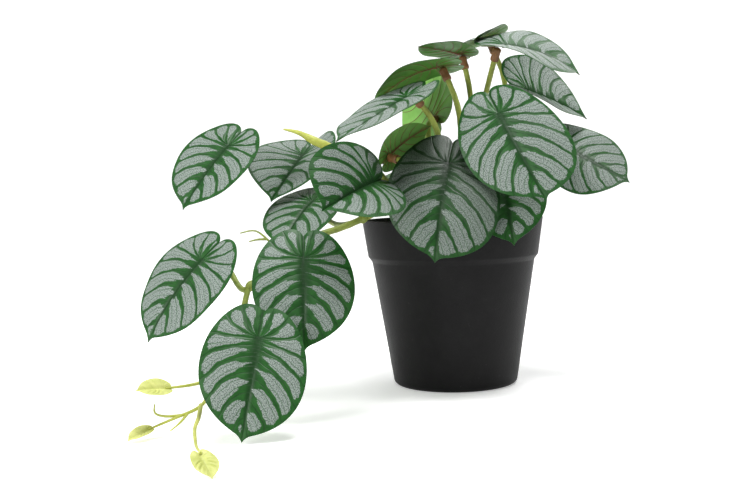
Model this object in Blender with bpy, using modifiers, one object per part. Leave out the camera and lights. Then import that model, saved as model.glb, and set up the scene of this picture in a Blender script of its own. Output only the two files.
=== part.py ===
# Trailing plant with silver-veined, shield-shaped leaves, standing in a black nursery pot.
# The origin is the middle of the pot's foot, on the surface that it stands on.
# Sizes are written in millimetres, and MM turns them into the scene's metres.

import math

import bmesh
import bpy
from mathutils import Matrix, Vector

MM = 0.001
UP = Vector((0.0, 0.0, 1.0))

# Room left between pieces that touch.
GAP = 0.3

# Pot: a tapered cup with a deep flared rim.
POT_HEIGHT = 110.0
POT_RIM_RADIUS = 60.0
POT_RIM_LOW_RADIUS = 56.5
POT_RIM_DEPTH = 24.3
POT_STEP_DEPTH = 3.4
POT_BODY_RADIUS = 54.0
POT_FOOT_RADIUS = 41.0
POT_WALL = 1.8
POT_FLOOR = 2.4
POT_FOOT_INSET = 3.0
POT_FOOT_RING = 4.0
POT_RECESS = 1.2
POT_BOSS_RADIUS = 12.0
POT_CORNER = 2.0
POT_LIP = 0.8
POT_SIDES = 36

# Dark filler that fills the pot and holds every stem.
SOIL_TOP = 95.0
SOIL_EDGE_DROP = 3.0
SOIL_LEVEL_RADIUS = 24.0
SOIL_SLOPE_RADIUS = 34.0
SOIL_SLOPE_DROP = 0.6
SOIL_CLEARANCE = 0.45
SOIL_SIDES = 32
HOLE_DEPTH = 14.0
HOLE_OVERRUN = 4.0

# Stems and the sockets that the leaves are pushed on by.
STEM_RADIUS = 2.3
STEM_TIP_RADIUS = 1.75
STEM_RINGS = 6
STALK_START_RADIUS = 1.5
STALK_RINGS = 5
BRANCH_END_RADIUS = 1.6
HOLE_RADIUS = 2.9
COLLAR_RADIUS = 3.0
COLLAR_LENGTH = 11.0
COLLAR_BORE = 2.15
COLLAR_ROOF = 3.2
COLLAR_TOP = 0.3
COLLAR_TOP_RADIUS = 1.5
COLLAR_SHOULDER = 2.6
COLLAR_TAPER = 0.2
COLLAR_SIDES = 8

# Blade: one long from lobe to tip, with the stem set in at the origin, Y towards the tip.
# Bezier pieces run down its right half: notch to lobe, lobe to widest, widest to shoulder, drip tip.
BLADE_THICKNESS = 0.8
BLADE_NOTCH = -0.145
BLADE_TIP = 0.79
BLADE_HALF_WIDTH = 0.415
BLADE_OUTLINE = (
    ((0.0, BLADE_NOTCH), (0.015, -0.185), (0.05, -0.21), (0.10, -0.21)),
    ((0.10, -0.21), (0.25, -0.21), (BLADE_HALF_WIDTH, 0.0), (BLADE_HALF_WIDTH, 0.26)),
    ((BLADE_HALF_WIDTH, 0.26), (BLADE_HALF_WIDTH, 0.50), (0.24, 0.65), (0.06, 0.73)),
    ((0.06, 0.73), (0.035, 0.742), (0.012, 0.765), (0.0, BLADE_TIP)),
)
BLADE_STARTS = (0.0, 0.12, 0.5, 0.92, 1.0)
BLADE_VEIN_SWEEP = 2.0
BLADE_ROWS = 10
BLADE_COLUMNS = 6
BLADE_WAVE = 0.012
BLADE_WAVES = 2.5

# Each leaf: where the stem meets the blade, where the tip is, and how the blade turns about that line
# (roll), bends along it (droop), opens at the midrib (fold) and curls across (cup), in degrees.
# Lean turns the socket from square to the blade towards its lobes, and slide pulls the right and the left
# half of the blade towards its tip. Twist turns the blade's far end about its midrib.
UPRIGHT_LEAVES = {
    "leaf_front_low": dict(heart=(-1, -52, 149), tip=(-11, -74, 86), roll=-15, droop=35, fold=8, cup=25,
                           width=0.83, slide=(0.05, 0.35), root=(-4, -24)),
    "leaf_front_high": dict(heart=(28, -58, 178), tip=(56, -78, 122), roll=70, droop=30, fold=8, cup=15,
                            width=0.74, slide=(0.0, 0.5), root=(9, -22)),
    "leaf_rim_right": dict(heart=(30, -47, 138), tip=(37, -69, 95), roll=15, droop=30, fold=8, cup=25,
                           root=(22, -20)),
    "leaf_right": dict(heart=(70, 0, 158), tip=(114, -20, 131), roll=45, droop=5, fold=0, cup=20,
                       width=0.78, slide=(0.1, 0.0), root=(29, -6)),
    "leaf_right_high": dict(heart=(51, 34, 197), tip=(92, 14, 174), roll=28, droop=15, fold=30, cup=5,
                            slide=(0.5, -1.0), root=(24, 6)),
    "leaf_top": dict(heart=(33, 0, 223), tip=(83, -25, 200), roll=15, droop=35, fold=14, cup=12, width=0.8,
                     slide=(0.6, -0.75), root=(13, -6)),
    "leaf_top_left": dict(heart=(9, 22, 221), tip=(-20, 0, 224.5), roll=9, droop=10, fold=4, cup=8,
                          width=0.75, root=(3, 14)),
    "leaf_top_back": dict(heart=(28, 52, 234), tip=(17, 13, 229), roll=22, droop=20, fold=8, cup=15,
                          width=0.72, root=(12, 24)),
    "leaf_crown_left": dict(heart=(-5, -10, 210), tip=(-51, -8, 184), roll=8, droop=50, fold=5, cup=15,
                            root=(-2, -10)),
    "leaf_long_left": dict(heart=(-24, -40, 190), tip=(-69, -70, 161), roll=-4, droop=0, fold=8, cup=12,
                           width=0.76, root=(-13, -16)),
    "leaf_arching": dict(heart=(-9, 14, 177), tip=(-33, 52, 200), roll=105, droop=15, fold=5, cup=10,
                         lean=50, root=(-6, 4)),
    "leaf_inner": dict(heart=(-40, -34, 151), tip=(-12, -18, 171), roll=-75, droop=50, fold=5, cup=15,
                       width=0.45, root=(-22, -6)),
    "leaf_back_left": dict(heart=(-26, 46, 141), tip=(-50, 78, 110), roll=0, droop=40, fold=8, cup=20,
                           root=(-20, 16)),
    "leaf_back": dict(heart=(-4, 57, 154), tip=(-6, 97, 114), roll=0, droop=40, fold=8, cup=20, width=0.76,
                      root=(-4, 26)),
    "leaf_back_right": dict(heart=(27, 54, 142), tip=(44, 86, 100), roll=8, droop=40, fold=8, cup=20,
                            width=0.72, root=(24, 20)),
}

# The vine hangs over the rim and comes down to the surface in front of the pot.
VINE_ROUTE = (
    (-22, -24, 81), (-24, -26, 97), (-32, -34, 115), (-42, -42, 118), (-55, -55, 113), (-68, -66, 108),
    (-81, -76, 104), (-96, -86, 94), (-108, -94, 83), (-118, -100, 77), (-121, -106, 66), (-123, -114, 51),
    (-130, -122, 34),
)
VINE_LEAVES = {
    "leaf_vine_1": dict(heart=(-45, -72.5, 136), tip=(-72, -123, 120.5), roll=-56, droop=28, fold=33,
                        cup=26, width=0.81, slide=(0.43, 0.42), twist=-20, joint=3),
    "leaf_vine_2": dict(heart=(-87, -36, 126), tip=(-105, -72, 97), roll=-3, droop=20, fold=12, cup=20,
                        width=0.82, slide=(0.0, 0.2), joint=4),
    "leaf_vine_3": dict(heart=(-86, -102, 96), tip=(-84, -128, 42), roll=-3, droop=20, fold=6, cup=15,
                        width=0.77, slide=(0.0, 0.1), joint=6),
    "leaf_vine_4": dict(heart=(-146, -92, 95), tip=(-179, -106, 46), roll=-26, droop=25, fold=5, cup=15,
                        width=0.88, joint=9),
    "leaf_vine_5": dict(heart=(-106, -142, 56), tip=(-113, -166, 0.8), roll=-22, droop=20, fold=5, cup=15,
                        width=0.76, slide=(0.0, 0.15), joint=11),
}
VINE_TENDRILS = (
    ((-98, -88, 93), (-106, -96, 102), (-114, -99, 109), (-123, -100, 108)),
    ((-108, -97, 104), (-113, -99, 104), (-118, -100, 103)),
)

# A second branch runs behind the others, over the rim's left side.
BRANCH_ROUTE = (
    (-27, 4, 81), (-29, 4, 97), (-37, 2, 125), (-49, -5, 143), (-58, -8, 150), (-68, -6, 152),
    (-80, 3, 149), (-96, 11, 145), (-112, 8, 148), (-129, -13, 155),
)
BRANCH_LEAVES = {
    "leaf_branch_1": dict(heart=(-97, -3, 156.5), tip=(-114, -44, 125), roll=-7, droop=8, fold=27, cup=10,
                          width=0.79, slide=(0.4, -0.3), twist=26, joint=7),
    "leaf_branch_2": dict(heart=(-138, -45, 163), tip=(-165, -68, 122), roll=-22, droop=15, fold=10, cup=15,
                          width=0.83, joint=9),
}
BRANCH_SHEATH = ((-58, -8, 150), (-69, -28, 155), (-85, -35, 162), (-96, -33, 168), (-107, -28, 171))
SHEATH_RADII = (0.8, 1.4, 1.9, 2.3, 2.7, 2.9, 2.8, 2.4, 1.9, 1.5, 1.1, 0.8, 0.4)

# Pale young growth at the vine's end, which lies out on the surface.
SHOOT_ROUTES = {
    "shoot_main": ((-130.2, -122.3, 33.4), (-137, -131, 20), (-142, -139, 14), (-153, -145, 10),
                   (-166.5, -151.8, 5.3)),
    "shoot_low": ((-141, -137, 15), (-138, -155, 12), (-136, -172, 10), (-129, -198, 8), (-121, -221, 10)),
    "shoot_high": ((-132, -125, 30), (-143, -137, 27), (-157.5, -147.7, 26.8)),
}
SHOOT_LEAVES = {
    "bud_low": dict(heart=(-121, -221.5, 9), tip=(-113.5, -230, 0.6), roll=0, droop=10, fold=10, cup=10,
                    width=0.75),
    "bud_far": dict(heart=(-167, -152, 5), tip=(-176, -160, 1.5), roll=-20, droop=10, fold=15, cup=10,
                    width=0.6),
    "bud_high": dict(heart=(-158, -148, 27), tip=(-171, -157, 28), roll=-40, droop=10, fold=15, cup=10,
                     width=0.6),
}
SHOOT_TENDRILS = (
    ((-149, -143, 11), (-158, -146, 11), (-164, -147, 13), (-164, -147, 18)),
    ((-147, -142, 12), (-150, -148, 8), (-155, -151, 4)),
)
SHOOT_RADIUS = 1.1
TENDRIL_RADIUS = 0.7

COLOURS = {
    "pot_plastic": ((0.018, 0.018, 0.020), 0.55),
    "filler": ((0.030, 0.022, 0.016), 0.95),
    "leaf": ((0.060, 0.190, 0.060), 0.50),
    "stem": ((0.240, 0.300, 0.070), 0.55),
    "young_leaf": ((0.560, 0.680, 0.230), 0.50),
}


def vector(values):
    return Vector(values) * MM


def material_named(name):
    colour, roughness = COLOURS[name]
    material = bpy.data.materials.get(name) or bpy.data.materials.new(name)
    material.use_nodes = True
    shader = material.node_tree.nodes["Principled BSDF"]
    shader.inputs["Base Color"].default_value = (*colour, 1.0)
    shader.inputs["Roughness"].default_value = roughness
    shader.inputs["Metallic"].default_value = 0.0
    return material


def add_object(name, mesh, collection):
    item = bpy.data.objects.new(name, mesh)
    collection.objects.link(item)
    return item


def evaluated_mesh(item):
    bpy.context.view_layer.update()
    depsgraph = bpy.context.evaluated_depsgraph_get()
    mesh = bpy.data.meshes.new_from_object(item.evaluated_get(depsgraph))
    mesh.transform(item.matrix_world)
    return mesh


def remove_object(item):
    data = item.data
    bpy.data.objects.remove(item)
    if isinstance(data, bpy.types.Mesh):
        bpy.data.meshes.remove(data)
    else:
        bpy.data.curves.remove(data)


def finish(item, colour):
    item.data.materials.clear()
    item.data.materials.append(material_named(colour))
    item.data.shade_smooth()
    item.data.set_sharp_from_angle(angle=math.radians(35))


# A turned solid, from (radius, height) points that run down its outer side.
def turned(name, profile, steps, collection):
    mesh = bpy.data.meshes.new(name)
    points = [vector((radius, 0.0, height)) for radius, height in profile]
    mesh.from_pydata(points, [(i, i + 1) for i in range(len(points) - 1)], [])
    item = add_object(name, mesh, collection)
    screw = item.modifiers.new("turn", "SCREW")
    screw.axis = "Z"
    screw.angle = math.tau
    screw.steps = steps
    screw.render_steps = steps
    screw.use_merge_vertices = True
    screw.merge_threshold = 0.00001
    return item


# One round tube through points in millimetres, with its own radius at each, as a closed mesh.
def tube(name, points, radii, collection, roundness=2):
    curve = bpy.data.curves.new(name, "CURVE")
    curve.dimensions = "3D"
    curve.bevel_depth = MM
    curve.bevel_resolution = roundness
    curve.use_fill_caps = True
    spline = curve.splines.new("POLY")
    spline.points.add(len(points) - 1)
    for point, place, radius in zip(spline.points, points, radii):
        point.co = (*vector(place), 1.0)
        point.radius = radius
    wire = add_object(name + "_wire", curve, collection)
    mesh = evaluated_mesh(wire)
    remove_object(wire)
    welded = bmesh.new()
    welded.from_mesh(mesh)
    bmesh.ops.remove_doubles(welded, verts=welded.verts, dist=0.00001)
    bmesh.ops.recalc_face_normals(welded, faces=welded.faces)
    welded.to_mesh(mesh)
    welded.free()
    return add_object(name, mesh, collection)


# Joins solids into the first one, and removes the others.
def join(item, others, collection):
    operands = bpy.data.collections.new(item.name + "_operands")
    collection.children.link(operands)
    for other in others:
        collection.objects.unlink(other)
        operands.objects.link(other)
    union = item.modifiers.new("join", "BOOLEAN")
    union.operation = "UNION"
    union.operand_type = "COLLECTION"
    union.collection = operands
    union.solver = "EXACT"
    mesh = evaluated_mesh(item)
    name = item.name
    for other in others:
        remove_object(other)
    bpy.data.collections.remove(operands)
    remove_object(item)
    return add_object(name, mesh, collection)


def bezier(a, b, c, d, t):
    r = 1.0 - t
    return a * r ** 3 + 3.0 * b * r * r * t + 3.0 * c * r * t * t + d * t ** 3


# Smooth path through all the points, with some rings between each two.
def smooth_path(points, rings):
    places = [Vector(point) for point in points]
    path = [places[0]]
    for i in range(len(places) - 1):
        start = places[i]
        end = places[i + 1]
        before = places[max(i - 1, 0)]
        after = places[min(i + 2, len(places) - 1)]
        for ring in range(1, rings + 1):
            leave = start + (end - before) / 6.0
            arrive = end - (after - start) / 6.0
            path.append(bezier(start, leave, arrive, end, ring / rings))
    return path


def blade_margin(s):
    for piece, start, end in zip(BLADE_OUTLINE, BLADE_STARTS, BLADE_STARTS[1:]):
        if s <= end:
            a, b, c, d = (Vector(point) for point in piece)
            return bezier(a, b, c, d, (s - start) / (end - start))
    return Vector(BLADE_OUTLINE[-1][-1])


def blade_foot(s):
    return Vector((0.0, BLADE_NOTCH + (BLADE_TIP - BLADE_NOTCH) * s ** BLADE_VEIN_SWEEP))


# The midrib as an arc: place and slope at a distance y from the stem.
def midrib(y, droop):
    bend = droop / BLADE_TIP
    if y < 0.0:
        bend *= 0.6
    if abs(bend) < 0.001:
        return Vector((0.0, y, 0.0)), 0.0
    return Vector((0.0, math.sin(bend * y) / bend, (math.cos(bend * y) - 1.0) / bend)), bend * y


# Across the blade: how far out and how high a point is that lies w from the midrib.
def across(w, fold, cup):
    curl = cup / BLADE_HALF_WIDTH
    if abs(curl) < 0.001:
        return w * math.cos(fold), w * math.sin(fold)
    turn = fold - curl * w
    return (math.sin(fold) - math.sin(turn)) / curl, (math.cos(turn) - math.cos(fold)) / curl


def blade_point(leaf, u, s):
    flat = blade_foot(s).lerp(blade_margin(s), abs(u))
    width = leaf.get("width", 2.0 * BLADE_HALF_WIDTH) / (2.0 * BLADE_HALF_WIDTH)
    reach = flat.x
    flat.y += leaf.get("slide", (0.0, 0.0))[0 if u > 0.0 else 1] * reach
    out, high = across(reach, math.radians(leaf["fold"]), math.radians(leaf["cup"]))
    high += BLADE_WAVE * (reach / BLADE_HALF_WIDTH) ** 2 * math.sin(math.tau * BLADE_WAVES * s + u)
    out *= width * (1.0 if u > 0.0 else -1.0)
    place, slope = midrib(flat.y, math.radians(leaf["droop"]))
    twist = math.radians(leaf.get("twist", 0.0)) * flat.y / BLADE_TIP
    side = out * math.cos(twist) - high * math.sin(twist)
    rise = out * math.sin(twist) + high * math.cos(twist)
    return place + Vector((side, math.sin(slope) * rise, math.cos(slope) * rise))


# Turns the blade's own frame so that its stem point and its tip fall where the leaf says.
def leaf_frame(leaf):
    heart = Vector(leaf["heart"])
    reach = Vector(leaf["tip"]) - heart
    tip, _ = midrib(BLADE_TIP, math.radians(leaf["droop"]))
    length = reach.length / tip.length
    forward = reach.normalized()
    facing = (UP - forward * UP.dot(forward)).normalized()
    facing.rotate(Matrix.Rotation(math.radians(leaf["roll"]), 3, forward))
    dip = math.atan2(tip.z, tip.y)
    along = forward * math.cos(dip) - facing * math.sin(dip)
    normal = forward * math.sin(dip) + facing * math.cos(dip)
    turn = Matrix((along.cross(normal), along, normal)).transposed()
    return heart, turn, length


# Direction in which a leaf's socket runs away from the blade.
def socket_heading(leaf):
    _, turn, _ = leaf_frame(leaf)
    lean = math.radians(leaf.get("lean", 20.0))
    return turn @ Vector((0.0, -math.sin(lean), -math.cos(lean)))


def blade(name, leaf, collection, columns=BLADE_COLUMNS, rows=BLADE_ROWS):
    heart, turn, length = leaf_frame(leaf)
    sheet = bmesh.new()
    bmesh.ops.create_grid(sheet, x_segments=columns, y_segments=rows, size=1.0)
    for vertex in sheet.verts:
        u = vertex.co.x
        s = (vertex.co.y + 1.0) / 2.0
        vertex.co = vector(heart + turn @ blade_point(leaf, u, s) * length)
    bmesh.ops.remove_doubles(sheet, verts=sheet.verts, dist=0.0001)
    bmesh.ops.triangulate(sheet, faces=sheet.faces)
    mesh = bpy.data.meshes.new(name)
    sheet.to_mesh(mesh)
    sheet.free()
    item = add_object(name, mesh, collection)
    solidify = item.modifiers.new("thickness", "SOLIDIFY")
    solidify.thickness = BLADE_THICKNESS * MM
    solidify.offset = -1.0
    return item


def socket(name, leaf, collection):
    profile = (
        (0.0, -COLLAR_TOP), (COLLAR_TOP_RADIUS, -COLLAR_TOP), (COLLAR_RADIUS, -COLLAR_SHOULDER),
        (COLLAR_RADIUS - COLLAR_TAPER, -COLLAR_LENGTH),
        (COLLAR_BORE, -COLLAR_LENGTH), (COLLAR_BORE, -COLLAR_ROOF), (0.0, -COLLAR_ROOF),
    )
    item = turned(name + "_socket", profile, COLLAR_SIDES, collection)
    heart, _, _ = leaf_frame(leaf)
    item.location = vector(heart)
    item.rotation_mode = "QUATERNION"
    item.rotation_quaternion = (-socket_heading(leaf)).to_track_quat("Z", "Y")
    return item


def leaf_solid(name, leaf, collection):
    item = join(blade(name, leaf, collection), [socket(name, leaf, collection)], collection)
    finish(item, "leaf")
    return item


# Path from a start and heading into a leaf's socket, straight along the socket's bore.
def stalk_path(start, heading, leaf, rings):
    heart, _, _ = leaf_frame(leaf)
    away = socket_heading(leaf)
    mouth = heart + away * (COLLAR_LENGTH + 2.0)
    end = heart + away * (COLLAR_ROOF + GAP)
    reach = (mouth - start).length * 0.4
    path = [
        bezier(start, start + heading * reach, mouth + away * reach, mouth, ring / rings)
        for ring in range(rings + 1)
    ]
    path.append(end)
    return path


def upright_stem(name, leaf, collection):
    root_x, root_y = leaf["root"]
    root = Vector((root_x, root_y, SOIL_TOP - HOLE_DEPTH + GAP))
    collar = Vector((root_x, root_y, SOIL_TOP + 1.0))
    path = [root] + stalk_path(collar, UP, leaf, STEM_RINGS)
    last = len(path) - 1
    radii = [STEM_RADIUS + (STEM_TIP_RADIUS - STEM_RADIUS) * i / last for i in range(last + 1)]
    radii[-2] = STEM_TIP_RADIUS
    item = tube(name, path, radii, collection)
    finish(item, "stem")
    return item


# A leafy branch: its main stem with one side stalk for each of its leaves, joined with its extras.
def branch(name, route, leaves, extras, collection):
    path = smooth_path(route, 2)
    last = len(path) - 1
    radii = [STEM_RADIUS + (BRANCH_END_RADIUS - STEM_RADIUS) * i / last for i in range(last + 1)]
    main_stem = tube(name, path, radii, collection)
    stalks = []
    for leaf_name, leaf in leaves.items():
        index = leaf["joint"] * 2
        start = path[index]
        heading = (path[min(index + 1, last)] - path[index - 1]).normalized()
        stalk = stalk_path(start, heading, leaf, STALK_RINGS)
        stalk_radii = [STALK_START_RADIUS] + [STEM_TIP_RADIUS] * (len(stalk) - 1)
        stalks.append(tube(leaf_name + "_stalk", stalk, stalk_radii, collection))
    item = join(main_stem, stalks + extras, collection)
    finish(item, "stem")
    return item


def tendrils(name, routes, collection):
    made = []
    for number, route in enumerate(routes):
        path = smooth_path(route, 2)
        last = len(path) - 1
        radii = [TENDRIL_RADIUS * (1.2 - 0.7 * i / last) for i in range(last + 1)]
        made.append(tube(f"{name}_{number}", path, radii, collection, 1))
    return made


def sheath(collection):
    path = smooth_path(BRANCH_SHEATH, 3)
    return tube("sheath", path, SHEATH_RADII, collection)


def young_shoots(collection):
    pieces = []
    for name, route in SHOOT_ROUTES.items():
        path = smooth_path(route, 2)
        last = len(path) - 1
        radii = [SHOOT_RADIUS * (1.3 - 0.4 * i / last) for i in range(last + 1)]
        pieces.append(tube(name, path, radii, collection))
    for name, leaf in SHOOT_LEAVES.items():
        pieces.append(blade(name, leaf, collection, 4, 7))
    pieces += tendrils("shoot_tendril", SHOOT_TENDRILS, collection)
    first = pieces.pop(0)
    first.name = "young_shoots"
    item = join(first, pieces, collection)
    finish(item, "young_leaf")
    return item


def wall_radius(height):
    step_low = POT_HEIGHT - POT_RIM_DEPTH - POT_STEP_DEPTH
    return POT_FOOT_RADIUS + (POT_BODY_RADIUS - POT_FOOT_RADIUS) * height / step_low


# Inner radius of the pot at a height above its floor.
def inner_radius(height):
    rim_low = POT_HEIGHT - POT_RIM_DEPTH
    step_low = rim_low - POT_STEP_DEPTH
    if height <= step_low:
        return wall_radius(height) - POT_WALL
    if height <= rim_low:
        share = (height - step_low) / POT_STEP_DEPTH
        return POT_BODY_RADIUS + (POT_RIM_LOW_RADIUS - POT_BODY_RADIUS) * share - POT_WALL
    share = (height - rim_low) / POT_RIM_DEPTH
    return POT_RIM_LOW_RADIUS + (POT_RIM_RADIUS - POT_RIM_LOW_RADIUS) * share - POT_WALL


def make_pot(collection):
    rim_low = POT_HEIGHT - POT_RIM_DEPTH
    step_low = rim_low - POT_STEP_DEPTH
    foot = POT_FOOT_RADIUS - POT_FOOT_INSET
    ring_inner = foot - POT_FOOT_RING
    profile = (
        (0.0, POT_FLOOR), (inner_radius(POT_FLOOR) - POT_CORNER, POT_FLOOR),
        (inner_radius(POT_FLOOR + POT_CORNER), POT_FLOOR + POT_CORNER),
        (inner_radius(step_low), step_low), (inner_radius(rim_low), rim_low),
        (inner_radius(POT_HEIGHT - POT_LIP), POT_HEIGHT - POT_LIP),
        (inner_radius(POT_HEIGHT) + POT_LIP / 2.0, POT_HEIGHT), (POT_RIM_RADIUS - POT_LIP / 2.0, POT_HEIGHT),
        (POT_RIM_RADIUS, POT_HEIGHT - POT_LIP), (POT_RIM_LOW_RADIUS, rim_low), (POT_BODY_RADIUS, step_low),
        (wall_radius(POT_FOOT_INSET), POT_FOOT_INSET), (wall_radius(POT_LIP) - POT_LIP, POT_LIP),
        (foot, 0.0), (ring_inner, 0.0),
        (ring_inner - POT_RECESS, POT_RECESS), (POT_BOSS_RADIUS + POT_RECESS, POT_RECESS),
        (POT_BOSS_RADIUS, 0.0), (0.0, 0.0),
    )
    item = turned("pot", profile, POT_SIDES, collection)
    finish(item, "pot_plastic")
    return item


def make_soil(collection, cutters):
    bottom = POT_FLOOR + GAP
    rim_low = POT_HEIGHT - POT_RIM_DEPTH
    step_low = rim_low - POT_STEP_DEPTH
    edge = SOIL_TOP - SOIL_EDGE_DROP
    profile = (
        (0.0, SOIL_TOP), (SOIL_LEVEL_RADIUS, SOIL_TOP), (SOIL_SLOPE_RADIUS, SOIL_TOP - SOIL_SLOPE_DROP),
        (inner_radius(edge) - SOIL_CLEARANCE, edge),
        (inner_radius(rim_low) - SOIL_CLEARANCE, rim_low),
        (inner_radius(step_low) - SOIL_CLEARANCE, step_low),
        (inner_radius(POT_FLOOR + POT_CORNER) - SOIL_CLEARANCE, bottom + POT_CORNER),
        (inner_radius(POT_FLOOR) - POT_CORNER - SOIL_CLEARANCE, bottom),
        (0.0, bottom),
    )
    item = turned("soil", profile, SOIL_SIDES, collection)
    finish(item, "filler")
    for number, (start, heading) in enumerate(hole_axes()):
        ends = [start, start + heading * (HOLE_DEPTH + HOLE_OVERRUN)]
        cutter = tube(f"hole_{number}", ends, [HOLE_RADIUS] * 2, cutters)
        cutter.display_type = "WIRE"
        cutter.hide_render = True
    cut = item.modifiers.new("holes", "BOOLEAN")
    cut.operation = "DIFFERENCE"
    cut.operand_type = "COLLECTION"
    cut.collection = cutters
    cut.solver = "EXACT"
    return item


# Bottom and direction of each stem's hole.
def hole_axes():
    axes = [(Vector((*leaf["root"], SOIL_TOP - HOLE_DEPTH)), UP) for leaf in UPRIGHT_LEAVES.values()]
    for route in (VINE_ROUTE, BRANCH_ROUTE):
        heading = (Vector(route[1]) - Vector(route[0])).normalized()
        axes.append((Vector(route[0]) - heading * GAP, heading))
    return axes


def main():
    for item in list(bpy.data.objects):
        bpy.data.objects.remove(item)
    plant = bpy.data.collections.new("potted_trailing_plant")
    cutters = bpy.data.collections.new("cutters")
    bpy.context.scene.collection.children.link(plant)
    bpy.context.scene.collection.children.link(cutters)
    make_pot(plant)
    make_soil(plant, cutters)
    for name, leaf in {**UPRIGHT_LEAVES, **VINE_LEAVES, **BRANCH_LEAVES}.items():
        leaf_solid(name, leaf, plant)
    for name, leaf in UPRIGHT_LEAVES.items():
        upright_stem(name.replace("leaf", "stem"), leaf, plant)
    branch("vine", VINE_ROUTE, VINE_LEAVES, tendrils("vine_tendril", VINE_TENDRILS, plant), plant)
    branch("branch", BRANCH_ROUTE, BRANCH_LEAVES, [sheath(plant)], plant)
    young_shoots(plant)


main()
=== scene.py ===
import math

import bmesh
import bpy
import numpy as np
from mathutils import Matrix, Vector


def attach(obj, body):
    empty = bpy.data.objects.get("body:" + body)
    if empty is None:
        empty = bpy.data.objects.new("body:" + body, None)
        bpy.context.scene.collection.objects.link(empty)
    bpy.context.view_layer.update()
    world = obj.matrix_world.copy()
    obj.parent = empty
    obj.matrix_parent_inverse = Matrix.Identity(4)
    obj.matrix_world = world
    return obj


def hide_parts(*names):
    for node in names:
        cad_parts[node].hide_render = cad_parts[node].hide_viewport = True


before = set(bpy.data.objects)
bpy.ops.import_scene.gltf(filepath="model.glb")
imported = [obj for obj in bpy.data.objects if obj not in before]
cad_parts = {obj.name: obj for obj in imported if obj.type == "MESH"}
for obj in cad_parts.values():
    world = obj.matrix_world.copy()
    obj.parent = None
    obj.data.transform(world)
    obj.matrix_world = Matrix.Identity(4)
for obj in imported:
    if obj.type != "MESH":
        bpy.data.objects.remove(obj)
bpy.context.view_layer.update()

mm = 0.001
up = Vector((0.0, 0.0, 1.0))
scene = bpy.context.scene


def newObject(name, data):
    item = bpy.data.objects.new(name, data)
    scene.collection.objects.link(item)
    return item


def newMesh(name, points, faces, finishes):
    mesh = bpy.data.meshes.new(name)
    mesh.from_pydata(points, [], faces)
    for finish in finishes:
        mesh.materials.append(finish)
    return mesh


# lens and sensor in millimetres, place in metres and the rest in degrees
view = dict(lens=50.0, sensor=36.0, place=(0.0, -0.7027, 0.13606), down=3.87, turn=-4.082, roll=-1.60)


def makeCamera():
    down, turn, roll = (math.radians(view[key]) for key in ("down", "turn", "roll"))
    ahead = Vector((math.sin(turn) * math.cos(down), math.cos(turn) * math.cos(down), -math.sin(down)))
    level = Vector((math.cos(turn), -math.sin(turn), 0.0))
    above = level.cross(ahead)
    side = level * math.cos(roll) + above * math.sin(roll)
    top = above * math.cos(roll) - level * math.sin(roll)
    data = bpy.data.cameras.new("photoView")
    data.lens = view["lens"]
    data.sensor_width = view["sensor"]
    data.clip_start = 0.01
    scene.camera = newObject("photoView", data)
    turned = Matrix((side, top, -ahead)).transposed().to_4x4()
    scene.camera.matrix_world = Matrix.Translation(view["place"]) @ turned


makeCamera()
print("camera ready")


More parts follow.
